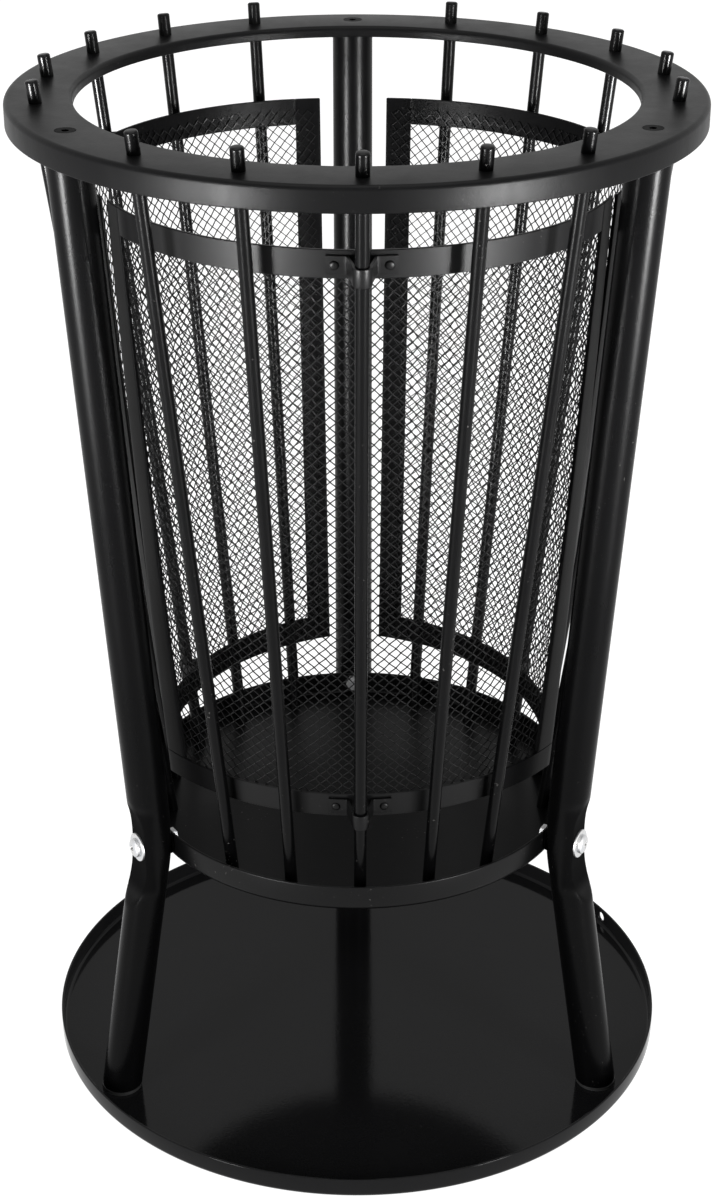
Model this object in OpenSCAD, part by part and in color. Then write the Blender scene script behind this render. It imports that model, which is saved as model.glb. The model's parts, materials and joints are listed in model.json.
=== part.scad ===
// Free-standing fire basket: a dish of fire on three bent tube legs, fifteen leaning
// rods under a wide top ring, three rolled mesh screens clipped to the rods, and a
// loose ash tray that the feet stand in. Front is -Y, up is +Z, the origin lies on
// the ground under the middle of the basket.

/* [Top ring] */
// Height of the ring's upper face above the ground
ring_z = 839; // [780:1:900]
// Outer diameter of the ring
ring_od = 530; // [515:1:560]
// Width of the ring, from its outer edge to the basket's mouth
ring_web = 51.5; // [48:0.5:60]
// Depth of the outer skirt
ring_skirt = 19; // [12:0.5:26]
// Depth of the inner lip
ring_lip = 9; // [6:0.5:14]
// Outside radius of the pressed corners
ring_bend = 4; // [3:0.5:6]

/* [Sheet metal] */
// Thickness of the ring's sheet
ring_sheet = 2.5; // [2:0.1:3]
// Thickness of the fire pan's sheet
pan_sheet = 2.5; // [2:0.1:3]
// Thickness of the ash tray's sheet
tray_sheet = 2; // [1.5:0.1:3]

/* [Fire pan] */
// Outer diameter of the pan
pan_od = 368; // [360:1:372]
// Height of the pan's rim above the ground
pan_z = 243.5; // [225:0.5:262]
// Outer depth of the pan
pan_h = 22; // [20:0.5:34]
// Outside radius of the pan's bottom corner
pan_bend = 5; // [3.5:0.5:7]

/* [Ash tray] */
// Outer diameter of the tray
tray_od = 534; // [524:1:600]
// Height of the tray's rim
tray_h = 18; // [12:0.5:40]
// Outside radius of the tray's bottom corner
tray_bend = 5; // [3:0.5:8]
// Diameter of the hanging hole in the tray's rim
tray_hole_d = 9; // [4:0.5:9]
// Direction of the hanging hole, in degrees from the front towards the right
tray_hole_az = 117; // [95:1:150]

/* [Rods] */
// Diameter of a rod
rod_d = 10; // [7:0.5:11]
// Distance of a rod's axis from the ring's outer edge, at the ring's upper face
rod_inset = 23.6; // [18:0.2:34]
// Distance of a rod's axis from the pan's outer wall, at the pan's floor
rod_foot_inset = 22.4; // [16:0.2:28]
// Height to which a rod stands proud of the ring
rod_proud = 17; // [8:1:40]
// Chamfer at a rod's upper end
rod_chamfer = 1.2; // [0.4:0.1:2]
// Gap between a rod and its hole in the ring
rod_play = 0.1; // [0.1:0.05:0.3]

/* [Legs] */
// Outer diameter of the leg tube
leg_d = 33.7; // [28:0.1:35]
// Wall of the leg tube
leg_wall = 2; // [1.5:0.1:3]
// Distance of the leg's axis from the ring's outer edge, under the ring
leg_inset = 24.5; // [22:0.5:28]
// Depth of the bend's corner under the pan's rim
knee_drop = 6.5; // [2:0.5:12]
// Distance of the foot's middle from the tray's outer wall
foot_inset = 30; // [27:0.5:40]
// Radius to which the tube's axis is bent
knee_bend = 100; // [70:5:160]
// Depth to which the tube's outer side is pressed in behind the bolt's head
dent_depth = 4.85; // [2:0.05:6]
// Depth to which the tube's inner side is pressed in at its bend's corner
inner_dent = 4.65; // [2:0.05:6]
// Radius of the pressed hollows' shoulders
dent_r = 60; // [40:5:100]
// Width of the flat seat that is left round the larger washer
dent_margin = 1; // [0:0.5:3]

/* [Plugs] */
// Thickness of the foot plug's flange
foot_flange = 3; // [2:0.5:6]
// Length of the foot plug's spigot
foot_spigot = 16; // [8:1:30]
// Length of the threaded plug in the leg's upper end
top_plug = 18; // [14:1:30]
// Gap between a plug and the tube's bore
plug_play = 0.15; // [0.1:0.05:0.3]

/* [Fasteners] */
// Diameter of the bolts' and screws' shanks
bolt_d = 8; // [6:0.5:8]
// Depth of the knee bolts under the pan's edge
bolt_drop = 9; // [8:0.5:12]
// Gap round a shank in its hole
bolt_play = 0.2; // [0.1:0.05:0.4]
// Diameter of the knee bolt's head
bolt_head_d = 16; // [13:0.5:18]
// Height of the knee bolt's head
bolt_head_h = 4.5; // [3.5:0.5:6]
// Diameter of the large washer under the bolt's head
washer_d = 24; // [18:0.5:26]
// Thickness of the large washer
washer_t = 2; // [1.2:0.2:2.4]
// Diameter of the small washer against the pan
inner_washer_d = 26; // [18:1:28]
// Thickness of the small washer
inner_washer_t = 1.6; // [1:0.1:1.6]
// Width of the nut across its flats
nut_af = 13; // [10:0.5:14]
// Height of the nut
nut_h = 4.5; // [4:0.5:7]
// Diameter of the countersunk head in the ring
csk_d = 15.5; // [12:0.5:17]
// Length of the countersunk screw
csk_len = 20; // [14:1:24]
// Width of a screw's hexagon socket across its flats
socket_af = 5; // [4:0.5:5]

/* [Screens] */
// Difference between the rods' mean circle and the circle to which a screen is rolled
screen_tighter = 1.5; // [0:0.5:8]
// Gap between a rod and the frame's outer face
screen_gap = 12.2; // [11:0.2:18]
// Height of the screens' lower edge over the pan's rim
screen_over_pan = 48; // [32:0.5:70]
// Depth of the screens' upper edge under the ring's upper face
screen_under_ring = 58.5; // [40:0.5:100]
// Half of the angle that the front screen spans round the basket
front_half = 64; // [54:0.1:66]
// Degrees the front panel sits turned to the right of the middle
front_turn = 0.9; // [-2:0.1:2]
// Angle from the front screen's side to the next screen's
side_gap_az = 0.8; // [0.6:0.1:5]
// Half of the angle that stays open between the two rear screens
rear_gap_az = 7.8; // [6:0.1:12]
// Height of the upper and lower bands
band_h = 21.5; // [16:0.5:30]
// Width of the side strips
strip_w = 21; // [14:0.5:28]
// Thickness of the frame's flat steel
frame_t = 2.5; // [1.5:0.1:3]

/* [Wire mesh] */
// Pitch of the mesh, along a wire
mesh_pitch = 30; // [26:1:44]
// Width of a mesh bar
mesh_bar = 2.6; // [2:0.1:4]
// Thickness of the mesh
mesh_t = 1.6; // [1.2:0.1:2.4]
// Distance by which the mesh stays short of the frame's edges
mesh_inset = 6; // [3:0.5:10]

/* [Straps] */
// Width of a strap over its two wings
strap_w = 50; // [42:1:60]
// Height of a strap
strap_h = 14; // [10:0.5:20]
// Thickness of a strap
strap_t = 2; // [1.2:0.1:2.5]
// Width between the strap's feet, inside
strap_foot = 17; // [14:0.5:20]
// Gap between a strap and its rod
strap_play = 0.15; // [0.1:0.05:0.3]
// Distance of a rivet from the strap's end
rivet_edge = 6; // [5:0.5:8]
// Diameter of a rivet's head
rivet_head_d = 7; // [5:0.5:8]
// Diameter of a rivet's shank
rivet_d = 4; // [3:0.5:4]

/* [Hidden] */

$fn = 96;
// A length that reaches past everything, and the overlap of a cut with a face
far = 1200;
cut = 1;

// Eighteen places round the basket: every sixth one holds a leg instead of a rod
places = 18;
place_step = 360 / places;
rod_az = [for (k = [0:places - 1]) if (k % 6 != 3) k * place_step];
leg_az = [60, 180, 300];
// Middle rod of the right screen; the left screen's mirrors it
side_az = 120;
mouth_r = ring_od / 2 - ring_web;

// The rods lean outwards on the way up
pan_r = pan_od / 2;
pan_floor = pan_z - pan_h + pan_sheet;
rod_top_r = ring_od / 2 - rod_inset;
rod_foot_r = pan_r - rod_foot_inset;
rod_lean = atan((rod_top_r - rod_foot_r) / (ring_z - pan_floor));
rod_end = (ring_z + rod_proud - pan_floor) / cos(rod_lean);

// The leg's axis, as two straight stretches that meet at the knee. Its pressed inner
// side bears on the washer that lies against the pan.
inner_face = pan_r + inner_washer_t;
leg_top_r = ring_od / 2 - leg_inset;
knee_r = inner_face + leg_d / 2 - inner_dent;
knee_z = pan_z - knee_drop;
foot_r = tray_od / 2 - foot_inset;
web_under = ring_z - ring_sheet;
foot_under = tray_sheet + foot_flange;
upper_lean = atan((leg_top_r - knee_r) / (web_under - knee_z));
lower_lean = atan((foot_r - knee_r) / (knee_z - tray_sheet));
knee_turn = upper_lean + lower_lean;
knee_tangent = knee_bend * tan(knee_turn / 2);

// The knee bolt runs towards the middle, under the pan's edge
bolt_z = pan_z - bolt_drop;
leg_outer_at_knee = knee_r + knee_bend * (1 / cos(knee_turn / 2) - 1) + leg_d / 2;
dent_face = leg_outer_at_knee - dent_depth;
dent_flat = max(washer_d, inner_washer_d) + 2 * dent_margin;
bolt_play_d = bolt_d + 2 * bolt_play;
// The nut's flat face meets the pan's round wall at its two outermost corners
wall_in = pan_r - pan_sheet;
nut_face = sqrt(wall_in * wall_in - pow(nut_af / cos(30) / 2, 2)) - 0.02;

// The screens, in a frame that stands on the middle rod's axis and leans with it
screen_r = (rod_top_r + rod_foot_r) / 2 - screen_tighter;
screen_depth = rod_d / 2 + screen_gap;
screen_low = pan_z + screen_over_pan;
screen_top = ring_z - screen_under_ring;
rear_half = (180 - front_half - front_turn - side_gap_az - rear_gap_az) / 2;
rear_turn = side_az - front_half - front_turn - side_gap_az - rear_half;
band_mid_top = screen_top - band_h / 2;
band_mid_low = screen_low + band_h / 2;
mesh_r = screen_r - frame_t;
strap_in = screen_depth - screen_r;

black = "#1d1d1f";
black_sheet = "#232325";
zinc = "#c9ccd0";
plastic = "#141414";

// Places a shape made for the front at an angle round the basket
module at(az) {
    rotate([0, 0, az]) children();
}

// Stands on the axis of the front rod, with Z along the rod and +Y inwards
module on_rod() {
    translate([0, -rod_foot_r, pan_floor]) rotate([rod_lean, 0, 0]) children();
}

// Turns a shape made along +X, in the XZ plane, to the front
module to_front() {
    rotate([0, 0, -90]) children();
}

// Section of a dish: a flat floor, a rounded corner and an upright wall
module dish_section(r, h, bend) {
    square([r - bend, h]);
    translate([0, bend]) square([r, h - bend]);
    translate([r - bend, bend]) circle(r = bend);
}

module dish(od, h, sheet, bend) {
    rotate_extrude($fn = 180) difference() {
        dish_section(od / 2, h, bend);
        translate([0, sheet]) dish_section(od / 2 - sheet, h, bend - sheet);
    }
}

// Loose ash tray, with a hanging hole through its rim
module ash_tray() color(black_sheet) difference() {
    dish(tray_od, tray_h, tray_sheet, tray_bend);
    at(tray_hole_az) translate([0, -tray_od / 2 + tray_bend, (tray_h + tray_sheet) / 2])
        rotate([90, 0, 0]) cylinder(d = tray_hole_d, h = 2 * tray_bend, $fn = 32);
}

// Fire pan, drilled for the three knee bolts
module fire_pan() color(black_sheet) difference() {
    translate([0, 0, pan_z - pan_h]) dish(pan_od, pan_h, pan_sheet, pan_bend);
    for (az = leg_az) at(az) bolt_axis(pan_r - pan_sheet - cut)
        cylinder(d = bolt_play_d, h = pan_sheet + 2 * cut, $fn = 32);
}

// Solid section of the ring, with its two upper corners rounded
module ring_blank(inset, bend) {
    r_in = mouth_r + inset;
    r_out = ring_od / 2 - inset;
    translate([r_in, -ring_skirt - inset]) square([r_out - r_in, ring_skirt - bend]);
    translate([r_in + bend, -inset - bend]) square([r_out - r_in - 2 * bend, bend]);
    for (x = [r_in + bend, r_out - bend]) translate([x, -inset - bend]) circle(r = bend);
}

// Pressed top ring: a web with a deep outer skirt and a shallow inner lip
module top_ring() color(black_sheet) difference() {
    translate([0, 0, ring_z]) rotate_extrude($fn = 180) difference() {
        ring_blank(0, ring_bend);
        ring_blank(ring_sheet, ring_bend - ring_sheet);
        translate([mouth_r - cut, -ring_skirt - cut])
            square([ring_sheet + cut + 0.1, ring_skirt + cut - ring_lip]);
    }
    for (az = rod_az) at(az) on_rod()
        cylinder(d = rod_d + 2 * rod_play, h = rod_end + far, $fn = 32);
    for (az = leg_az) at(az) screw_axis() screw_body(bolt_play);
}

// Round rod from the pan's floor to its chamfered end above the ring
module rod(number) color(black) at(rod_az[number - 1]) difference() {
    on_rod() {
        translate([0, 0, -rod_d]) cylinder(d = rod_d, h = rod_end + rod_d - rod_chamfer, $fn = 32);
        translate([0, 0, rod_end - rod_chamfer])
            cylinder(d1 = rod_d, d2 = rod_d - 2 * rod_chamfer, h = rod_chamfer, $fn = 32);
    }
    translate([-rod_d, -rod_foot_r - 2 * rod_d, pan_floor - 3 * rod_d])
        cube([2 * rod_d, 4 * rod_d, 3 * rod_d]);
}

// The leg's bent bar, in the XZ plane, longer than the leg at both ends. The bend is
// drawn in a little, and the straight stretches lap into it.
module leg_bar(d) {
    lap = 0.5;
    drawn = 0.2;
    translate([knee_r, 0, knee_z]) rotate([0, upper_lean, 0]) translate([0, 0, knee_tangent]) {
        translate([0, 0, -lap]) cylinder(d = d, h = ring_z - knee_z, $fn = 64);
        translate([knee_bend, 0, 0]) {
            rotate([90, 0, 0]) rotate([0, 0, 180]) rotate_extrude(angle = knee_turn, $fn = 96)
                translate([knee_bend, 0]) circle(d = d - drawn, $fn = 64);
            rotate([0, -knee_turn, 0]) translate([-knee_bend, 0, -knee_z])
                cylinder(d = d, h = knee_z + lap, $fn = 64);
        }
    }
}

// The two stamps that press flat seats with round shoulders into the knee
module dent_stamps(grow) {
    for (x = [dent_face + dent_r, inner_face - dent_r])
        translate([x, 0, bolt_z]) rotate([90, 0, 0])
            linear_extrude(2 * leg_d, center = true) {
                square([2 * dent_r + 2 * grow, dent_flat], center = true);
                for (z = [-dent_flat / 2, dent_flat / 2]) translate([0, z])
                    circle(r = dent_r + grow, $fn = 128);
            }
}

// Tube leg: bent, hollow, pressed in on both sides at the bolt and cut level at the ends
module leg(az) color(black) at(az) to_front() difference() {
    difference() {
        leg_bar(leg_d);
        dent_stamps(0);
    }
    difference() {
        leg_bar(leg_d - 2 * leg_wall);
        dent_stamps(leg_wall);
    }
    translate([0, -leg_d, web_under]) cube([far, 2 * leg_d, far]);
    translate([0, -leg_d, foot_under - far]) cube([far, 2 * leg_d, far]);
    translate([pan_r, 0, bolt_z]) rotate([0, 90, 0])
        cylinder(d = bolt_play_d, h = leg_outer_at_knee - pan_r + leg_d, $fn = 32);
}

// Threaded plug inside the leg's upper end
module leg_top_plug() difference() {
    intersection() {
        to_front() leg_bar(leg_d - 2 * leg_wall - 2 * plug_play);
        translate([-leg_d, -far, web_under - top_plug]) cube([2 * leg_d, far, top_plug]);
    }
    screw_axis() screw_body(bolt_play);
    screw_axis() translate([0, 0, -csk_len - 2 * cut])
        cylinder(d = bolt_d - 1, h = csk_len, $fn = 32);
}

module leg_top_plugs() color(black) for (az = leg_az) at(az) leg_top_plug();

// Plug with a flange, on which the leg stands in the tray
module foot_plugs() color(plastic) for (az = leg_az) at(az) {
    intersection() {
        to_front() leg_bar(leg_d - 2 * leg_wall - 2 * plug_play);
        translate([-leg_d, -far, foot_under]) cube([2 * leg_d, far, foot_spigot]);
    }
    intersection() {
        to_front() leg_bar(leg_d);
        translate([-leg_d, -far, tray_sheet]) cube([2 * leg_d, far, foot_flange]);
    }
}

// Axis of the countersunk screw that holds a leg's top: Z = 0 is the ring's face
module screw_axis() {
    translate([0, -leg_top_r, ring_z]) children();
}

module screw_body(grow) {
    cone = (csk_d - bolt_d) / 2;
    translate([0, 0, -cone])
        cylinder(d1 = bolt_d + 2 * grow, d2 = csk_d + 2 * grow, h = cone, $fn = 48);
    translate([0, 0, -csk_len]) cylinder(d = bolt_d + 2 * grow, h = csk_len, $fn = 32);
}

module ring_screws() color(black) for (az = leg_az) at(az) screw_axis() difference() {
    screw_body(0);
    translate([0, 0, -bolt_head_h / 2])
        cylinder(d = socket_af / cos(30), h = bolt_head_h, $fn = 6);
}

// Axis of a knee bolt: Z = 0 at a distance r from the middle, pointing outwards
module bolt_axis(r) {
    translate([0, -r, bolt_z]) rotate([90, 0, 0]) children();
}

module knee_bolts() color(zinc) for (az = leg_az) at(az) difference() {
    tip = nut_face - nut_h - cut;
    head = dent_face + washer_t;
    union() {
        bolt_axis(tip) cylinder(d = bolt_d, h = head - tip + cut, $fn = 32);
        bolt_axis(head) intersection() {
            cylinder(d = bolt_head_d, h = bolt_head_h, $fn = 48);
            translate([0, 0, bolt_head_h - bolt_head_d]) sphere(r = bolt_head_d, $fn = 96);
        }
    }
    bolt_axis(head + bolt_head_h / 2)
        cylinder(d = socket_af / cos(30), h = bolt_head_h, $fn = 6);
}

module knee_washers() color(zinc) for (az = leg_az) at(az)
    bolt_axis(dent_face) washer(washer_d, washer_t);

module knee_inner_washers() color(zinc) for (az = leg_az) at(az)
    bolt_axis(pan_r) washer(inner_washer_d, inner_washer_t);

module washer(d, t) difference() {
    cylinder(d = d, h = t, $fn = 64);
    translate([0, 0, -cut]) cylinder(d = bolt_play_d, h = t + 2 * cut, $fn = 32);
}

module knee_nuts() color(zinc) for (az = leg_az) at(az)
    bolt_axis(nut_face - nut_h) difference() {
        cylinder(d = nut_af / cos(30), h = nut_h, $fn = 6);
        translate([0, 0, -cut]) cylinder(d = bolt_play_d, h = nut_h + 2 * cut, $fn = 32);
    }

// Rolled sheet of a screen, from one depth under the frame's face to another
module rolled(outer, inner) on_rod() translate([0, screen_depth + screen_r, 0])
    difference() {
        cylinder(r = screen_r - outer, h = rod_end, $fn = 180);
        translate([0, 0, -cut]) cylinder(r = screen_r - inner, h = rod_end + 2 * cut, $fn = 180);
    }

// Wedge between two upright planes through the middle, with its edge set in by a width
module wedge(from_az, to_az, inset, low, high) {
    intersection() {
        at(from_az) translate([inset, -far, low]) cube([far, 2 * far, high - low]);
        at(to_az) translate([-inset - far, -far, low]) cube([far, 2 * far, high - low]);
    }
}

// Part of a rolled sheet between two heights and inside the screen's two sides. A
// screen spans the angles shift - half to shift + half, from the middle rod's place.
module field(outer, inner, half, shift, inset, low, high) intersection() {
    rolled(outer, inner);
    wedge(shift - half, shift + half, inset, low, high);
}

module top_band(half, shift) color(black_sheet)
    field(0, frame_t, half, shift, strip_w, screen_top - band_h, screen_top);

module bottom_band(half, shift) color(black_sheet)
    field(0, frame_t, half, shift, 0, screen_low, screen_low + band_h);

// Side strip, on the left for side = -1 and on the right for side = 1
module side_strip(half, shift, side) color(black_sheet) {
    edge = shift + side * half;
    low = screen_low + band_h;
    intersection() {
        rolled(0, frame_t);
        at(edge) translate([side > 0 ? -strip_w : 0, -far, low])
            cube([strip_w, far, screen_top - low]);
    }
}

// Where a point of the rolled mesh lies: angle a round the roll, height h along the rod
function roll_y(a) = screen_depth + screen_r - mesh_r * cos(a);
function spot_x(a) = mesh_r * sin(a);
function spot_y(a, h) = -rod_foot_r + roll_y(a) * cos(rod_lean) - h * sin(rod_lean);
function spot_z(a, h) = pan_floor + roll_y(a) * sin(rod_lean) + h * cos(rod_lean);
function spot_az(a, h) = atan2(spot_x(a), -spot_y(a, h));

// True where the spot lies inside the mesh's own edge
function inside(a, h, half, shift) =
    spot_z(a, h) > screen_low + mesh_inset && spot_z(a, h) < screen_top - mesh_inset
    && abs(spot_az(a, h) - shift) < half - mesh_inset / rod_foot_r * 180 / PI;

// Woven mesh laid on the bias, on the inner side of the frame
module mesh(half, shift) color(black) difference() {
    field(frame_t, frame_t + mesh_t, half, shift, mesh_inset,
          screen_low + mesh_inset, screen_top - mesh_inset);
    step = mesh_pitch / sqrt(2);
    turn = step / mesh_r * 180 / PI;
    hole = (mesh_pitch - mesh_bar) / sqrt(2);
    hole_turn = hole / mesh_r * 180 / PI;
    columns = ceil(70 / turn);
    rows = ceil(rod_end / step);
    on_rod() translate([0, screen_depth + screen_r, 0])
        for (i = [-columns:columns], j = [0:rows]) {
            a = i * turn;
            h = j * step;
            clear = inside(a - hole_turn, h, half, shift) && inside(a + hole_turn, h, half, shift)
                && inside(a, h - hole, half, shift) && inside(a, h + hole, half, shift);
            if ((i + j) % 2 == 0 && clear) rotate([0, 0, a]) translate([0, -mesh_r, h])
                rotate([90, 45, 0]) translate([0, 0, -2 * mesh_t])
                linear_extrude(4 * mesh_t) square(mesh_pitch - mesh_bar, center = true);
        }
}

// Section of the strap: two feet that run up both sides of the rod and round its front
module strap_section(grow) {
    r = rod_d / 2 + strap_play + grow;
    foot = strap_foot / 2 + grow;
    polygon([[-r, 0], [r, 0], [foot, screen_depth + cut], [-foot, screen_depth + cut]]);
    circle(r = r, $fn = 64);
}

// Height along the rod of a strap that is centred at a height above the ground
function along(z) = (z - pan_floor) / cos(rod_lean) - screen_depth * tan(rod_lean);

// Strap round the rod, with its wings on the band's rolled face
module strap(z) color(black) on_rod() translate([0, 0, along(z) - strap_h / 2])
    difference() {
        union() {
            linear_extrude(strap_h) intersection() {
                strap_section(strap_t);
                translate([-strap_w, -strap_w]) square([2 * strap_w, strap_w + screen_depth]);
            }
            intersection() {
                translate([0, screen_depth + screen_r, 0])
                    cylinder(r = screen_r + strap_t, h = strap_h, $fn = 180);
                translate([-strap_w / 2, 0, 0]) cube([strap_w, screen_depth + strap_w, strap_h]);
            }
        }
        translate([0, 0, -cut]) linear_extrude(strap_h + 2 * cut) strap_section(0);
        translate([0, screen_depth + screen_r, -cut])
            cylinder(r = screen_r, h = strap_h + 2 * cut, $fn = 180);
        for (side = [-1, 1]) rivet_axis(side, strap_h / 2)
            cylinder(d = rivet_d + 0.2, h = 4 * strap_t, center = true, $fn = 32);
    }

// Axis of a rivet, square to the band's rolled face; Z = 0 is that face
module rivet_axis(side, h) {
    turn = asin((strap_w / 2 - rivet_edge) / screen_r);
    translate([0, screen_depth + screen_r, h]) rotate([0, 0, side * turn])
        translate([0, -screen_r, 0]) rotate([90, 0, 0]) children();
}

module rivet() {
    translate([0, 0, strap_t]) intersection() {
        cylinder(d = rivet_head_d, h = rivet_d / 2, $fn = 32);
        translate([0, 0, rivet_d / 2 - rivet_head_d]) sphere(r = rivet_head_d, $fn = 48);
    }
    cylinder(d = rivet_d, h = strap_t, $fn = 32);
}

module rivets() color(black) for (z = [band_mid_low, band_mid_top], side = [-1, 1])
    on_rod() rivet_axis(side, along(z)) rivet();

// One if line for each node
ash_tray();
fire_pan();
top_ring();
leg(leg_az[0]);  // leg_front_right
leg(leg_az[1]);  // leg_rear
leg(leg_az[2]);  // leg_front_left
leg_top_plugs();
foot_plugs();
ring_screws();
knee_bolts();
knee_washers();
knee_inner_washers();
knee_nuts();
rod(1);  // rod_01
rod(2);  // rod_02
rod(3);  // rod_03
rod(4);  // rod_04
rod(5);  // rod_05
rod(6);  // rod_06
rod(7);  // rod_07
rod(8);  // rod_08
rod(9);  // rod_09
rod(10);  // rod_10
rod(11);  // rod_11
rod(12);  // rod_12
rod(13);  // rod_13
rod(14);  // rod_14
rod(15);  // rod_15
mesh(front_half, front_turn);  // front_mesh
top_band(front_half, front_turn);  // front_top_band
bottom_band(front_half, front_turn);  // front_bottom_band
side_strip(front_half, front_turn, -1);  // front_left_strip
side_strip(front_half, front_turn, 1);  // front_right_strip
strap(band_mid_top);  // front_top_strap
strap(band_mid_low);  // front_bottom_strap
rivets();  // front_rivets
at(side_az) mesh(rear_half, -rear_turn);  // right_mesh
at(side_az) top_band(rear_half, -rear_turn);  // right_top_band
at(side_az) bottom_band(rear_half, -rear_turn);  // right_bottom_band
at(side_az) side_strip(rear_half, -rear_turn, -1);  // right_front_strip
at(side_az) side_strip(rear_half, -rear_turn, 1);  // right_rear_strip
at(side_az) strap(band_mid_top);  // right_top_strap
at(side_az) strap(band_mid_low);  // right_bottom_strap
at(side_az) rivets();  // right_rivets
at(-side_az) mesh(rear_half, rear_turn);  // left_mesh
at(-side_az) top_band(rear_half, rear_turn);  // left_top_band
at(-side_az) bottom_band(rear_half, rear_turn);  // left_bottom_band
at(-side_az) side_strip(rear_half, rear_turn, -1);  // left_rear_strip
at(-side_az) side_strip(rear_half, rear_turn, 1);  // left_front_strip
at(-side_az) strap(band_mid_top);  // left_top_strap
at(-side_az) strap(band_mid_low);  // left_bottom_strap
at(-side_az) rivets();  // left_rivets
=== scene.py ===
"""Looks of the fire basket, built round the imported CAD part.

Lengths in this script are millimetres until a mesh is made, where they become metres.
Front is -Y, up is +Z, and the origin lies on the ground under the basket's middle.
An azimuth is in degrees round Z, 0 at the front and growing towards the right.
"""

import json
import math

import bpy
import numpy as np
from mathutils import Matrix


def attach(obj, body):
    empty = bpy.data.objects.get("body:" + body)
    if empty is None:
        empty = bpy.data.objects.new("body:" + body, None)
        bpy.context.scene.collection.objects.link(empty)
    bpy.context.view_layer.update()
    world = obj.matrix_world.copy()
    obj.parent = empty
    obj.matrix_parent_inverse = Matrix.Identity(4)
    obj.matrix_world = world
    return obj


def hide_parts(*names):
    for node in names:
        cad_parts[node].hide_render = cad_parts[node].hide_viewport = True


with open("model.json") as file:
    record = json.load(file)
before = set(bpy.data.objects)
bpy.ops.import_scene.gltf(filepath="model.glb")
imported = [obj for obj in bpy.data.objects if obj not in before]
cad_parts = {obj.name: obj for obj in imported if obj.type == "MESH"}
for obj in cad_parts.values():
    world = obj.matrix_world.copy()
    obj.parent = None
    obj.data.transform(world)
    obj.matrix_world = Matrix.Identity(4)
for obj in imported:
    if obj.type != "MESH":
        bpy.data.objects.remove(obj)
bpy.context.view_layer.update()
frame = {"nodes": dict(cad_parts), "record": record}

MM = 0.001

# Sizes shared with the CAD part
RING_Z, RING_OD, RING_WEB = 839.0, 530.0, 51.5
RING_SKIRT, RING_LIP, RING_BEND, RING_SHEET = 19.0, 9.0, 4.0, 2.5
PAN_OD, PAN_Z, PAN_H, PAN_BEND, PAN_SHEET = 368.0, 243.5, 22.0, 5.0, 2.5
TRAY_OD, TRAY_H, TRAY_BEND, TRAY_SHEET = 534.0, 18.0, 5.0, 2.0
TRAY_HOLE_AZ, TRAY_HOLE_D = 117.0, 9.0
ROD_D, ROD_INSET, ROD_FOOT_INSET, ROD_PROUD = 10.0, 23.6, 22.4, 17.0
LEG_D, LEG_WALL, LEG_INSET, KNEE_DROP, FOOT_INSET = 33.7, 2.0, 24.5, 6.5, 30.0
KNEE_BEND, DENT_DEPTH, INNER_DENT, DENT_R, DENT_MARGIN = 100.0, 4.85, 4.65, 60.0, 1.0
FOOT_FLANGE = 3.0
BOLT_DROP, BOLT_HEAD_D, BOLT_HEAD_H = 9.0, 16.0, 4.5
WASHER_D, WASHER_T, INNER_WASHER_D, INNER_WASHER_T = 24.0, 2.0, 26.0, 1.6
NUT_AF, NUT_H, NUT_CLEAR = 13.0, 4.5, 0.02
SOCKET_AF, CSK_D, BOLT_D = 5.0, 15.5, 8.0
SCREEN_TIGHTER, SCREEN_GAP, SCREEN_OVER_PAN, SCREEN_UNDER_RING = 1.5, 12.2, 48.0, 58.5
FRONT_HALF, FRONT_TURN, SIDE_GAP_AZ, REAR_GAP_AZ, SIDE_AZ = 64.0, 0.9, 0.8, 7.8, 120.0
BAND_H, STRIP_W, FRAME_T = 21.5, 21.0, 2.5
STRAP_W, STRAP_H, STRAP_T, STRAP_FOOT, STRAP_PLAY = 50.0, 14.0, 2.0, 17.0, 0.15
RIVET_EDGE, RIVET_HEAD_D, RIVET_D = 6.0, 7.0, 4.0
MESH_PITCH, WIRE_D = 6.35, 1.0

# Sizes that follow from them
MOUTH_R = RING_OD / 2 - RING_WEB
PAN_R = PAN_OD / 2
PAN_FLOOR = PAN_Z - PAN_H + PAN_SHEET
ROD_TOP_R = RING_OD / 2 - ROD_INSET
ROD_FOOT_R = PAN_R - ROD_FOOT_INSET
ROD_LEAN = math.atan((ROD_TOP_R - ROD_FOOT_R) / (RING_Z - PAN_FLOOR))
ROD_END = (RING_Z + ROD_PROUD - PAN_FLOOR) / math.cos(ROD_LEAN)
ROD_AZ = [20.0 * k for k in range(18) if k % 6 != 3]
LEG_AZ = {"leg_front_right": 60.0, "leg_rear": 180.0, "leg_front_left": 300.0}
INNER_FACE = PAN_R + INNER_WASHER_T
LEG_TOP_R = RING_OD / 2 - LEG_INSET
KNEE_R = INNER_FACE + LEG_D / 2 - INNER_DENT
KNEE_Z = PAN_Z - KNEE_DROP
FOOT_R = TRAY_OD / 2 - FOOT_INSET
WEB_UNDER = RING_Z - RING_SHEET
FOOT_UNDER = TRAY_SHEET + FOOT_FLANGE
UPPER_LEAN = math.atan((LEG_TOP_R - KNEE_R) / (WEB_UNDER - KNEE_Z))
LOWER_LEAN = math.atan((FOOT_R - KNEE_R) / (KNEE_Z - TRAY_SHEET))
KNEE_TURN = UPPER_LEAN + LOWER_LEAN
BOLT_Z = PAN_Z - BOLT_DROP
DENT_FACE = KNEE_R + KNEE_BEND * (1 / math.cos(KNEE_TURN / 2) - 1) + LEG_D / 2 - DENT_DEPTH
DENT_FLAT = max(WASHER_D, INNER_WASHER_D) + 2 * DENT_MARGIN
NUT_CORNER_R = NUT_AF / math.cos(math.pi / 6) / 2
NUT_FACE = math.sqrt((PAN_R - PAN_SHEET) ** 2 - NUT_CORNER_R ** 2) - NUT_CLEAR
CSK_DEPTH = (CSK_D - BOLT_D) / 2
SCREEN_R = (ROD_TOP_R + ROD_FOOT_R) / 2 - SCREEN_TIGHTER
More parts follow.
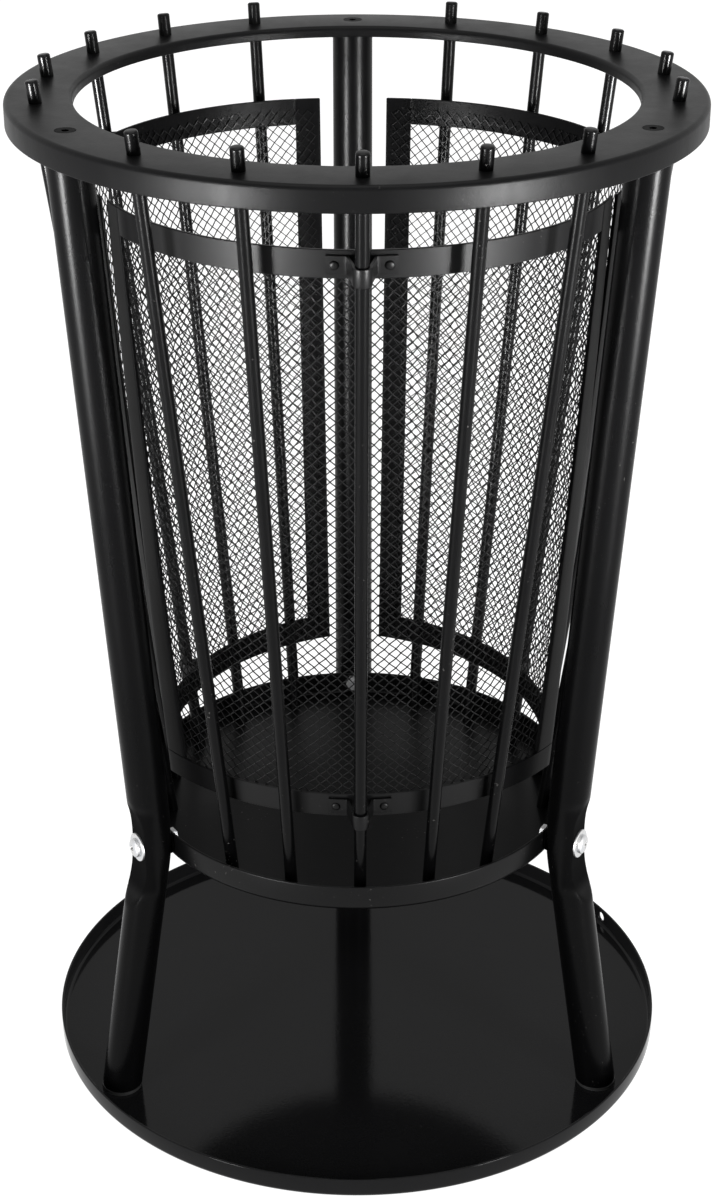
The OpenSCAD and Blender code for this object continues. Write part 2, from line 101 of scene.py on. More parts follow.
SCREEN_DEPTH = ROD_D / 2 + SCREEN_GAP
SCREEN_LOW = PAN_Z + SCREEN_OVER_PAN
SCREEN_TOP = RING_Z - SCREEN_UNDER_RING
REAR_HALF = (180 - FRONT_HALF - FRONT_TURN - SIDE_GAP_AZ - REAR_GAP_AZ) / 2
REAR_TURN = SIDE_AZ - FRONT_HALF - FRONT_TURN - SIDE_GAP_AZ - REAR_HALF

# Edges and small forms that only the looks have
CORNER_STEPS = 7
POLE_R = 0.4
CUT_EDGE_SHARE = 0.42
RING_CUT_EDGE = 0.9
CUT_REACH = 9.0
SINK_DEPTH, SINK_ABOVE, SINK_BORE_PLAY, SINK_CONE_PLAY = 12.0, 3.0, 0.3, 0.35
SOCKET_DEPTH, SOCKET_CHAMFER, SOCKET_LEAD, SOCKET_CONE, SOCKET_TIP = BOLT_HEAD_H / 2, 0.35, 0.3, 1.0, 0.02
SCREW_LENGTH, SCREW_SUNK = 20.0, 0.05
BOLT_PAST_NUT, HEAD_STRAIGHT, HEAD_CROWN = 1.0, 0.45, 0.55
ROD_FOOT_RING, ROD_SHANK_STOP = 0.8, 2.2
ROD_CAP = ((0.0, 1.3), (0.25, 0.75), (0.75, 0.25), (1.4, 0.02))
STAMP_SOFTNESS, STAMP_REACH = 0.5, 0.8
FLAT_EDGE, STRAP_EDGE = 0.5, 0.4
MESH_BEHIND, MESH_SIDE, MESH_FOOT, MESH_TOP = 0.95, 4.0, 3.5, 8.0
RIVET_COLLAR, RIVET_DOME = 0.25, 1.6

# Faces round the turned pieces, and the angle from which each kind of piece shows an edge
DISH_SIDES, RING_SIDES, TUBE_SIDES, ROD_SIDES = 320, 384, 72, 40
HOLE_SIDES, HEAD_SIDES, WASHER_SIDES, RIVET_SIDES, WIRE_SIDES = 40, 48, 64, 32, 4
PLAIN_CREASE, FLAT_CREASE, TUBE_CREASE, SHEET_CREASE, WIRE_CREASE = 32.0, 40.0, 50.0, 60.0, 80.0

# Counts of points along the pieces, and how far the searches go
LEG_FOOT_POINTS, LEG_KNEE_POINTS, LEG_TOP_POINTS, ROD_RINGS = 90, 16, 160, 24
BAND_NET, STRIP_NET = (4, 80), (30, 8)
SIDE_TURN_LIMIT, SIDE_HALVINGS = 1.5, 40
WIRE_HALF_STEPS, WIRE_SPARES, WIRE_LEVELS, WIRE_TURN_LIMIT, WIRE_LEAST = 400, 60, 60, 1.4, 3


# Plain geometry

def turned(points, az):
    """Points made for the front, turned az degrees round Z towards the right."""
    a = math.radians(az)
    c, s = math.cos(a), math.sin(a)
    p = np.asarray(points, float)
    return np.stack([p[..., 0] * c - p[..., 1] * s, p[..., 0] * s + p[..., 1] * c, p[..., 2]], -1)


def outwards(p, height, az):
    """Points with Z along an axis that points level outwards, put at a height and an azimuth."""
    return turned(np.stack([p[..., 0], -p[..., 2], p[..., 1] + height], -1), az)


def on_rod(points):
    """Points of the frame on the front rod's axis (Z along the rod, +Y inwards), in the part's frame."""
    c, s = math.cos(ROD_LEAN), math.sin(ROD_LEAN)
    p = np.asarray(points, float)
    return np.stack([p[..., 0], p[..., 1] * c - p[..., 2] * s - ROD_FOOT_R,
                     p[..., 1] * s + p[..., 2] * c + PAN_FLOOR], -1)


def rounded(corners, radii, steps=CORNER_STEPS):
    """A closed outline whose corners are replaced by arcs tangent to both sides.

    An arc's middle lies on the corner's bisector, r / sin(half the corner's angle) from it, and
    its points swing evenly from one tangent point to the other.
    """
    p = np.asarray(corners, float)
    out = []
    for i, r in enumerate(radii):
        a, b, c = p[i - 1], p[i], p[(i + 1) % len(p)]
        if r <= 0:
            out.append(b[None])
            continue
        u, v = (a - b) / np.linalg.norm(a - b), (c - b) / np.linalg.norm(c - b)
        half = math.acos(np.clip(u @ v, -1, 1)) / 2
        reach = r / math.tan(half)
        middle = b + (u + v) / np.linalg.norm(u + v) * r / math.sin(half)
        start, end = b + u * reach - middle, b + v * reach - middle
        turn = math.acos(np.clip(start @ end / r / r, -1, 1))
        k = np.linspace(0, 1, steps + 1)[:, None]
        out.append(middle + (start * np.sin((1 - k) * turn) + end * np.sin(k * turn)) / math.sin(turn))
    return np.concatenate(out)


def lathe(outline, sides):
    """A closed outline of (radius, height) turned round Z: one row of points for each side."""
    a = np.arange(sides) * 2 * np.pi / sides
    r, z = outline[:, 0], outline[:, 1]
    return np.stack([np.outer(np.cos(a), r), np.outer(np.sin(a), r), np.tile(z, (sides, 1))], -1)


def drum(profile, sides):
    """Rings of (radius, height) round Z, one row each, from the first to the last."""
    a = np.arange(sides) * 2 * np.pi / sides
    p = np.asarray(profile, float)
    return np.stack([np.outer(p[:, 0], np.cos(a)), np.outer(p[:, 0], np.sin(a)),
                     np.tile(p[:, 1:2], (1, sides))], -1)


def dish_outline(od, h, sheet, bend):
    """Section of a dish from its middle out, over the rim and back: floor, corner, wall and rolled edge."""
    r, edge = od / 2, sheet * CUT_EDGE_SHARE
    corners = [(POLE_R, sheet), (r - sheet, sheet), (r - sheet, h), (r, h), (r, 0), (POLE_R, 0)]
    return rounded(corners, [0, bend - sheet, edge, edge, bend, 0])


def unit_steps(line):
    """Unit directions along a line of points."""
    step = np.gradient(line, axis=0)
    return step / np.linalg.norm(step, axis=1, keepdims=True)


def grid_faces(rows, columns, close_rows, close_columns, start):
    """Quads over a rows x columns net of vertices, wrapped where asked."""
    r = np.arange(rows if close_rows else rows - 1)
    c = np.arange(columns if close_columns else columns - 1)
    r, c = (k.ravel() for k in np.meshgrid(r, c, indexing="ij"))
    r2, c2 = (r + 1) % rows, (c + 1) % columns
    return np.stack([r * columns + c, r * columns + c2, r2 * columns + c2, r2 * columns + c], -1) + start


class Shape:
    """Vertices and faces gathered from several nets, in millimetres."""

    def __init__(self):
        self.points, self.quads, self.caps, self.count = [], [], [], 0

    def net(self, p, close_rows=False, close_columns=False, cap_start=False, cap_end=False):
        """Adds a net p[row, column, xyz], with an n-gon over its first and last row where asked."""
        rows, columns = p.shape[:2]
        self.points.append(p.reshape(-1, 3))
        self.quads.append(grid_faces(rows, columns, close_rows, close_columns, self.count))
        first = np.arange(columns) + self.count
        if cap_start:
            self.caps.append(first[::-1])
        if cap_end:
            self.caps.append(first + (rows - 1) * columns)
        self.count += rows * columns
        return self

    def hoop(self, p):
        """Adds a net that is closed both ways."""
        return self.net(p, close_rows=True, close_columns=True)

    def bar(self, p, cap_end=True):
        """Adds a net whose rows are closed rings, with an n-gon at its start and at its end."""
        return self.net(p, close_columns=True, cap_start=True, cap_end=cap_end)

    def mesh(self, name, crease=PLAIN_CREASE):
        """A Blender mesh of it, in metres, smooth but for edges sharper than crease degrees."""
        me = bpy.data.meshes.new(name)
        points, quads = np.concatenate(self.points) * MM, np.concatenate(self.quads)
        loops = np.concatenate([quads.ravel()] + self.caps)
        sizes = np.array([4] * len(quads) + [len(c) for c in self.caps])
        starts = np.concatenate([[0], np.cumsum(sizes)[:-1]])
        me.vertices.add(len(points))
        me.vertices.foreach_set("co", points.astype(np.float32).ravel())
        me.loops.add(len(loops))
        me.loops.foreach_set("vertex_index", loops.astype(np.int32))
        me.polygons.add(len(sizes))
        me.polygons.foreach_set("loop_start", starts.astype(np.int32))
        me.update(calc_edges=True)
        me.validate()
        me.shade_smooth()
        me.set_sharp_from_angle(angle=math.radians(crease))
        return me


def placed(name, data):
    """A new object with that data, linked to the scene."""
    o = bpy.data.objects.new(name, data)
    bpy.context.scene.collection.objects.link(o)
    return o


def piece(name, shape, slot, *nodes, body="basket", crease=PLAIN_CREASE):
    """An object of that shape, riding on a CAD body in place of CAD nodes."""
    o = placed(name, shape.mesh(name, crease))
    o.data.materials.append(MATERIALS[slot])
    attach(o, body)
    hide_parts(*nodes)
    return o


def cut(obj, name, points):
    """Cuts the closed form of those points out of obj for good, by a Boolean, and drops the cutter."""
    o = placed(name, Shape().bar(points).mesh(name))
    modifier = obj.modifiers.new("hole", "BOOLEAN")
    modifier.operation, modifier.solver, modifier.object = "DIFFERENCE", "EXACT", o
    made = bpy.data.meshes.new_from_object(obj.evaluated_get(bpy.context.evaluated_depsgraph_get()))
    obj.modifiers.clear()
    uncut, mesh_name = obj.data, obj.data.name
    obj.data = made
    bpy.data.meshes.remove(uncut)
    made.name = mesh_name
    bpy.data.objects.remove(o)


# Shader maths

class Socket:
    """A shader socket with operators; numbers join in as constants."""

    def __init__(self, tree, socket):
        self.tree, self.socket = tree, socket

    def _math(self, operation, *terms):
        return node(self.tree, "ShaderNodeMath", {"operation": operation}, dict(enumerate(terms)))

    def __add__(self, other):
        return self._math("ADD", self, other)

    def __sub__(self, other):
        return self._math("SUBTRACT", self, other)

    def __rsub__(self, other):
        return self._math("SUBTRACT", other, self)

    def __mul__(self, other):
        return self._math("MULTIPLY", self, other)

    __radd__, __rmul__ = __add__, __mul__

    def root(self):
        return self._math("POWER", self, 0.5)

    def clamp(self, low, high):
        return self._math("MINIMUM", self._math("MAXIMUM", self, low), high)

    def ramp(self, low, high):
        """0 at low, 1 at high, smooth between them."""
        return node(self.tree, "ShaderNodeMapRange", {"interpolation_type": "SMOOTHSTEP"},
                    {"From Min": low, "From Max": high, "Value": self}, "Result")

    def step(self, at, softness):
        """0 below a value, 1 above it, smooth over softness to each side."""
        return self.ramp(at - softness, at + softness)

    def other(self, output):
        """Another output of the node that this one comes from."""
        return Socket(self.tree, self.socket.node.outputs[output])


def feed(tree, target, value):
    """Links a Socket to an input, or sets a constant on it."""
    if isinstance(value, Socket):
        tree.links.new(value.socket, target)
    elif hasattr(target.default_value, "__len__"):
        target.default_value = (list(value) + [1.0])[:len(target.default_value)]
    else:
        target.default_value = value


def node(tree, kind, settings=None, inputs=None, output=0):
    """A new node of that kind: its settings first, then its inputs, by name or number. Returns one output."""
    made = tree.nodes.new(kind)
    for name, value in (settings or {}).items():
        setattr(made, name, value)
    for name, value in (inputs or {}).items():
        feed(tree, made.inputs[name], value)
    return Socket(tree, made.outputs[output]) if made.outputs else None


def mix_colour(tree, factor, a, b):
    """Colour a at factor 0, colour b at factor 1."""
    return node(tree, "ShaderNodeMix", {"data_type": "RGBA"}, {"Factor": factor, "A": a, "B": b}, "Result")


def on_object(tree):
    """The point's place on the object, in metres."""
    return node(tree, "ShaderNodeTexCoord", output="Object")


def noise(tree, scale, detail, rough, stretch=None):
    """Noise over object coordinates, 0 to 1, at a scale per metre, stretched along an axis where asked."""
    where = on_object(tree)
    if stretch:
        where = node(tree, "ShaderNodeMapping", inputs={"Vector": where, "Scale": stretch})
    return node(tree, "ShaderNodeTexNoise",
                inputs={"Vector": where, "Scale": scale, "Detail": detail, "Roughness": rough}, output="Fac")


def bump(tree, height, strength, depth):
    """Normals from a height map; depth in metres."""
    return node(tree, "ShaderNodeBump", inputs={"Height": height, "Strength": strength, "Distance": depth},
                output="Normal")


def principled(name):
    """A new material with a Principled shader: (material, tree, a function that feeds its inputs)."""
    mat = bpy.data.materials.new(name)
    mat.use_nodes = True
    shader = mat.node_tree.nodes["Principled BSDF"]

    def give(**inputs):
        for key, value in inputs.items():
            feed(mat.node_tree, shader.inputs[key.replace("_", " ")], value)

    return mat, mat.node_tree, give


def shaded(base, *shares):
    """A base colour with its channels scaled, by one share or by one each."""
    return [c * k for c, k in zip(base, shares * 3 if len(shares) == 1 else shares)]


# Finishes

COAT_EDGE, HOLLOW_EDGE = 0.0005, 0.004
DUST = (0.28, 0.27, 0.26)


def enamel(name, base, rough, peel, dust, ior, rim_gloss=None, front_gloss=None, hollow=None):
    """Black paint: orange-peel bump, cloudy sheen, fine scuffs and a few pale specks of dust.

    rim_gloss is (radius, weight): a clear coat on what lies beyond that radius.
    front_gloss is (distance, weight): a clear coat on what lies further to the front than that.
    hollow is (height, reach, radius): round that height and beyond that radius the paint is sooty and dull.
    """
    mat, t, give = principled(name)
    clouds = noise(t, 9.0, 4.0, 0.6)
    fine = noise(t, 160.0, 3.0, 0.55)
    scuffs = noise(t, 30.0, 6.0, 0.7, stretch=(1.0, 1.0, 0.16))
    specks = noise(t, 420.0, 1.0, 0.4).ramp(0.73, 0.78) * noise(t, 14.0, 2.0, 0.5).ramp(0.45, 0.7)
    shade = mix_colour(t, clouds * 0.5 + fine * 0.3, shaded(base, 0.72), shaded(base, 1.4))
    roughness = ((clouds - 0.5) * 0.4 + (scuffs - 0.5) * 0.47 + 1.0) * rough + specks * 0.2
    x = node(t, "ShaderNodeSeparateXYZ", inputs={0: on_object(t)}, output="X")
    y, z = x.other("Y"), x.other("Z")
    radius = (x * x + y * y).root()
    if hollow:
        height, reach, beyond = [k * MM for k in hollow]
        near = (reach ** 2 - (z - height) * (z - height)).ramp(0.0, reach ** 2 / 2)
        roughness = roughness + near * radius.step(beyond, HOLLOW_EDGE) * 0.7
    if rim_gloss:
        give(Coat_Weight=radius.step(rim_gloss[0] * MM, COAT_EDGE) * rim_gloss[1], Coat_Roughness=rough)
    if front_gloss:
        give(Coat_Weight=(0.0 - y).step(front_gloss[0] * MM, HOLLOW_EDGE) * front_gloss[1], Coat_Roughness=rough)
    peel_height = noise(t, 620.0, 2.0, 0.5) + noise(t, 240.0, 2.0, 0.5) * 0.6
    give(Base_Color=mix_colour(t, specks * dust, shade, DUST), Roughness=roughness.clamp(0.04, 0.98), IOR=ior,
         Normal=bump(t, peel_height, peel, 0.0006))
    return mat


def metal(name, base, rough):
    """Bright plated steel with fine grain, dull spots and faint blue and straw tints."""
    mat, t, give = principled(name)
    grain = noise(t, 900.0, 3.0, 0.6)
    spots = noise(t, 130.0, 4.0, 0.6)
    tint = mix_colour(t, spots, shaded(base, 0.93, 0.97, 1.03), shaded(base, 1.03, 1.0, 0.92))
    give(Base_Color=mix_colour(t, spots.ramp(0.6, 0.8), tint, shaded(base, 0.55)), Metallic=1.0,
         Roughness=(grain * 0.14 + spots * 0.16 + rough).clamp(0.08, 0.9), Normal=bump(t, grain, 0.12, 0.0003))
    return mat


def in_view(tree):
    """1 for rays that come from the camera or from a mirror or glass, 0 for those that light the object."""
    camera_ray = node(tree, "ShaderNodeLightPath", output="Is Camera Ray")
    return (camera_ray + camera_ray.other("Is Glossy Ray") + camera_ray.other("Is Transmission Ray")).clamp(0.0, 1.0)


def floor_paint(name, shade, glow):
    """Studio paper with a trace of fibre: white where it is seen, a plain grey where it lights the object."""
    mat, t, give = principled(name)
    fibre = noise(t, 60.0, 5.0, 0.7)
    give(Base_Color=mix_colour(t, fibre * 0.04, (shade,) * 3, (0.0,) * 3), Roughness=fibre * 0.1 + 0.82,
         Emission_Color=mix_colour(t, in_view(t), (0.0,) * 3, (glow,) * 3), Emission_Strength=1.0)
    return mat


# The index of refraction is low on all that hangs in the white room, which it mirrors: a common
# paint's 1.5 would turn these blacks to the greys of a much paler paint.
BLACK = (0.0058, 0.0058, 0.0061)
DEEP_BLACK = (0.0012, 0.0012, 0.0013)
RIM_GLOSS_IN, FRONT_GLOSS_FROM = 1.5, 126.0
HOLLOW_REACH, HOLLOW_BEYOND = 46.0, 203.0
MATERIALS = {
    "tray_black": enamel("tray_black", BLACK, rough=0.085, peel=0.03, dust=0.0, ior=1.18),
    "pan_black": enamel("pan_black", DEEP_BLACK, rough=0.34, peel=0.075, dust=0.3, ior=1.16,
                        rim_gloss=(PAN_R - RIM_GLOSS_IN, 0.15)),
    "ring_black": enamel("ring_black", DEEP_BLACK, rough=0.40, peel=0.1, dust=0.1, ior=1.165),
    "leg_black": enamel("leg_black", DEEP_BLACK, rough=0.28, peel=0.1, dust=0.1, ior=1.15,
                        hollow=(BOLT_Z, HOLLOW_REACH, HOLLOW_BEYOND)),
    "rod_black": enamel("rod_black", DEEP_BLACK, rough=0.25, peel=0.075, dust=0.2, ior=1.195),
    "frame_black": enamel("frame_black", DEEP_BLACK, rough=0.38, peel=0.1, dust=0.1, ior=1.12,
                          front_gloss=(FRONT_GLOSS_FROM, 0.28)),
    "mesh_black": enamel("mesh_black", DEEP_BLACK, rough=0.40, peel=0.0, dust=0.0, ior=1.22),
    "strap_black": enamel("strap_black", DEEP_BLACK, rough=0.40, peel=0.15, dust=0.2, ior=1.26),
    "screw_black": enamel("screw_black", DEEP_BLACK, rough=0.42, peel=0.1, dust=0.1, ior=1.06),
    "foot_plastic": enamel("foot_plastic", (0.012,) * 3, rough=0.5, peel=0.25, dust=0.1, ior=1.5),
    "plug_steel": metal("plug_steel", (0.42, 0.42, 0.43), 0.35),
    "zinc": metal("zinc", (0.60, 0.60, 0.61), 0.26),
}
SLOTS = {part["node"]: part["material_slot"] for part in frame["record"]["subparts"]}
for cad_name, cad_object in frame["nodes"].items():
    cad_object.data.materials.clear()
    cad_object.data.materials.append(MATERIALS[SLOTS[cad_name]])


# Dishes and ring

def ash_tray():
    """The loose tray: a dish turned round Z, with the hanging hole cut through its wall."""
    outline = dish_outline(TRAY_OD, TRAY_H, TRAY_SHEET, TRAY_BEND)
    tray = piece("tray_skin", Shape().hoop(lathe(outline, DISH_SIDES)), "tray_black", "ash_tray",
                 body="ash_tray", crease=SHEET_CREASE)
    r, wall = TRAY_HOLE_D / 2, TRAY_OD / 2
    hole = drum([(r, wall - CUT_REACH), (r, wall + CUT_REACH)], HOLE_SIDES)
    cut(tray, "tray_hole_cutter", outwards(hole, (TRAY_H + TRAY_SHEET) / 2, TRAY_HOLE_AZ))


def fire_pan():
    """The fire pan: a dish turned round Z, lifted to its place."""
    outline = dish_outline(PAN_OD, PAN_H, PAN_SHEET, PAN_BEND) + [0, PAN_Z - PAN_H]
    piece("pan_skin", Shape().hoop(lathe(outline, DISH_SIDES)), "pan_black", "fire_pan", crease=SHEET_CREASE)


def top_ring():
    """The ring: web, deep outer skirt and shallow inner lip turned round Z, with three countersinks cut in."""
    ri, ro, t, bend = MOUTH_R, RING_OD / 2, RING_SHEET, RING_BEND
    corners = [(ri, -RING_LIP), (ri, 0), (ro, 0), (ro, -RING_SKIRT),
               (ro - t, -RING_SKIRT), (ro - t, -t), (ri + t, -t), (ri + t, -RING_LIP)]
    edge = RING_CUT_EDGE
    outline = rounded(corners, [edge, bend, bend, edge, edge, bend - t, bend - t, edge])[::-1] + [0, RING_Z]
    ring = piece("ring_skin", Shape().hoop(lathe(outline, RING_SIDES)), "ring_black", "top_ring",
                 crease=SHEET_CREASE)
    bore, cone = BOLT_D / 2 + SINK_BORE_PLAY, CSK_D / 2 + SINK_CONE_PLAY
    sink = drum([(bore, -SINK_DEPTH), (bore, -CSK_DEPTH), (cone, 0), (cone, SINK_ABOVE)], HEAD_SIDES)
    for k, az in enumerate(LEG_AZ.values()):
        cut(ring, "sink_%d" % k, turned(sink + [0, -LEG_TOP_R, RING_Z], az))


# Fasteners

def hexed(profile, top):
    """A round head that ends in a hexagon socket: rings of (radius, height), then the socket's rows.

    A socket row has the radius af / 2 / cos(angle from the middle of its flat); the first is
    chamfered outwards, the last runs down to the tip of a drill's cone.
    """
    a = np.arange(HEAD_SIDES) * 2 * np.pi / HEAD_SIDES
    hexagon = SOCKET_AF / 2 / np.cos((a + np.pi / 6) % (np.pi / 3) - np.pi / 6)
    floor = top - SOCKET_DEPTH
    radii = [np.full_like(a, r) for r, _ in profile]
    radii += [hexagon + SOCKET_CHAMFER, hexagon, hexagon, hexagon * SOCKET_TIP]
    heights = [z for _, z in profile] + [top, top - SOCKET_LEAD, floor, floor - SOCKET_CONE]
    r = np.array(radii)
    return np.stack([r * np.cos(a), r * np.sin(a), np.repeat(np.array(heights)[:, None], HEAD_SIDES, 1)], -1)


def ring_screws():
    """Countersunk screws with a hexagon socket, level with the ring."""
    r, shank = CSK_D / 2, BOLT_D / 2
    rows = [(shank, -SCREW_LENGTH), (shank, -CSK_DEPTH), (r - 0.15, -0.25), (r - 0.3, -SCREW_SUNK)]
    screw, shape = hexed(rows, -SCREW_SUNK) + [0, -LEG_TOP_R, RING_Z], Shape()
    for az in LEG_AZ.values():
        shape.bar(turned(screw, az), cap_end=False)
    piece("screw_heads", shape, "screw_black", "ring_screws")


def knee_hardware():
    """Domed bolt heads with a hexagon socket, wide washers with a rolled edge, and inner washers.

    The head's crown is a quarter of an ellipse, (r cos k, straight + crown sin k), cut off at
    both its ends; a washer is its rounded section turned round the bolt.
    """
    seat, r, shank = DENT_FACE + WASHER_T, BOLT_HEAD_D / 2, BOLT_D / 2
    straight = seat + BOLT_HEAD_H * HEAD_STRAIGHT
    dome = [(shank, NUT_FACE - NUT_H - BOLT_PAST_NUT), (shank, seat), (r - 0.2, seat), (r, seat + 0.3), (r, straight)]
    dome += [(r * math.cos(k), straight + BOLT_HEAD_H * HEAD_CROWN * math.sin(k)) for k in np.linspace(0.15, 1.1, 7)]
    bolt = hexed(dome, dome[-1][1] + 0.15)
    heads = Shape()
    for az in LEG_AZ.values():
        heads.bar(outwards(bolt, BOLT_Z, az), cap_end=False)
    piece("bolt_heads", heads, "zinc", "knee_bolts")
    for name, slot, cad_node, d, t, z in (
            ("wide_washers", "zinc", "knee_washers", WASHER_D, WASHER_T, DENT_FACE),
            ("small_washers", "screw_black", "knee_inner_washers", INNER_WASHER_D, INNER_WASHER_T, PAN_R)):
        bore = shank + 0.2
        outline = rounded([(bore, z), (d / 2, z), (d / 2, z + t), (bore, z + t)], [0, 0.3, 0.5, 0.1], 3)
        washer, shape = lathe(outline, WASHER_SIDES), Shape()
        for az in LEG_AZ.values():
            shape.hoop(outwards(washer, BOLT_Z, az))
        piece(name, shape, slot, cad_node)


# Legs and rods

def leg_path():
    """The leg's bent axis as (radius, height) from the foot up: straight, arc of KNEE_BEND, straight."""
    tangent = KNEE_BEND * math.tan(KNEE_TURN / 2)
    up = np.array([math.sin(UPPER_LEAN), math.cos(UPPER_LEAN)])
    down = np.array([math.sin(LOWER_LEAN), -math.cos(LOWER_LEAN)])
    knee = np.array([KNEE_R, KNEE_Z])
    start, end = knee + down * tangent, knee + up * tangent
    centre = start + KNEE_BEND * np.array([math.cos(LOWER_LEAN), math.sin(LOWER_LEAN)])
    foot = knee + down * (KNEE_Z - FOOT_UNDER) / math.cos(LOWER_LEAN)
    head = knee + up * (WEB_UNDER - KNEE_Z) / math.cos(UPPER_LEAN)
    a = math.pi + LOWER_LEAN - np.linspace(0, 1, LEG_KNEE_POINTS) * KNEE_TURN
    return np.concatenate([foot + (start - foot) * np.linspace(0, 1, LEG_FOOT_POINTS)[:-1, None],
                           centre + KNEE_BEND * np.stack([np.cos(a), np.sin(a)], -1),
                           end + (head - end) * np.linspace(0, 1, LEG_TOP_POINTS)[1:, None]])


def leg_skin(path, r, grow):
    """The tube of radius r round the leg's axis, pressed in at the bolt on both sides.

    A skin point is axis + r(cos t, sin t); its radial part is then held between the two
    stamps, x <= face + R - sqrt(R^2 - d^2) with d its height beyond the flat seat, and the
    same mirrored on the inner side. grow is how far this skin lies inside the outer one.
    """
    step = unit_steps(path)
    t = np.arange(TUBE_SIDES) * 2 * np.pi / TUBE_SIDES
    x = path[:, :1] + step[:, 1:] * r * np.cos(t)
    z = path[:, 1:] - step[:, :1] * r * np.cos(t)
    y = np.tile(r * np.sin(t), (len(path), 1))
    stamp = DENT_R + grow
    beyond = np.maximum(np.abs(z - BOLT_Z) - DENT_FLAT / 2, 0)
    sag = stamp - np.sqrt(np.maximum(stamp ** 2 - beyond ** 2, 0))
    near, soft = beyond < DENT_R * STAMP_REACH, STAMP_SOFTNESS
    x = np.where(near, -soft * np.logaddexp(-x / soft, -(DENT_FACE - grow + sag) / soft), x)
    x = np.where(near, soft * np.logaddexp(x / soft, (INNER_FACE + grow - sag) / soft), x)
    z[0], z[-1] = FOOT_UNDER, WEB_UNDER
    return np.stack([y, -x, z], -1)


def legs():
    """Three tubes: the outer skin from foot to head, and the inner one back down."""
    path = leg_path()
    tube = np.concatenate([leg_skin(path, LEG_D / 2, 0.0), leg_skin(path, LEG_D / 2 - LEG_WALL, LEG_WALL)[::-1]])
    for name, az in LEG_AZ.items():
        piece(name + "_skin", Shape().hoop(turned(tube, az)), "leg_black", name, crease=TUBE_CREASE)


def rods():
    """Fifteen rods: a drum with a rounded end, cut level at its foot, leaned and turned to its place."""
    r = ROD_D / 2
    profile = [(r, z) for z in np.linspace(ROD_FOOT_RING, ROD_END - ROD_SHANK_STOP, ROD_RINGS)]
    profile += [(r - inwards, ROD_END - down) for inwards, down in ROD_CAP] + [(POLE_R, ROD_END)]
    rod = drum(profile, ROD_SIDES)
    rod[0, :, 2] = -np.tan(ROD_LEAN) * rod[0, :, 1]
    for k, az in enumerate(ROD_AZ, 1):
        piece("rod_%02d_skin" % k, Shape().bar(turned(on_rod(rod), az)), "rod_black", "rod_%02d" % k)


# Screens. A place on a screen is (turn round its roll, height above the ground, depth under
# the frame's outer face); turn 0 is behind the middle rod.

# Name, azimuth of the middle rod, the two sides' azimuths from it, and the side strips
SCREENS = (("front", 0.0, (FRONT_TURN - FRONT_HALF, FRONT_TURN + FRONT_HALF), ("left_strip", "right_strip")),
           ("right", SIDE_AZ, (-REAR_TURN - REAR_HALF, REAR_HALF - REAR_TURN), ("front_strip", "rear_strip")),
           ("left", -SIDE_AZ, (REAR_TURN - REAR_HALF, REAR_TURN + REAR_HALF), ("rear_strip", "front_strip")))


def rolled(turn, depth):
    """Across and inwards from the rod's axis, for a turn round the roll and a depth under its outer face."""
    rho = SCREEN_R - depth
    return rho * np.sin(turn), SCREEN_DEPTH + SCREEN_R - rho * np.cos(turn)


def roll_place(turn, z, depth):
    """A rolled sheet's point at a turn (radians), a height above the ground and a depth, front screen."""
    x, y = rolled(turn, depth)
    along = (z - PAN_FLOOR - y * math.sin(ROD_LEAN)) / math.cos(ROD_LEAN)
    return on_rod(np.stack([x, y, along], -1))


def side_turn(z, depth, side_az, inset):
    """The turn at which a rolled sheet meets the upright plane at side_az, set in by inset; by bisection."""
    z = np.asarray(z, float)
    a, sign = math.radians(side_az), 1 if side_az > 0 else -1
    low, high = np.zeros_like(z), np.full_like(z, sign * SIDE_TURN_LIMIT)
    for _ in range(SIDE_HALVINGS):
        middle = (low + high) / 2
        p = roll_place(middle, z, depth)
        beyond = (p[..., 0] * math.cos(a) + p[..., 1] * math.sin(a)) * sign > -inset
        low, high = np.where(beyond, low, middle), np.where(beyond, middle, high)
    return (low + high) / 2


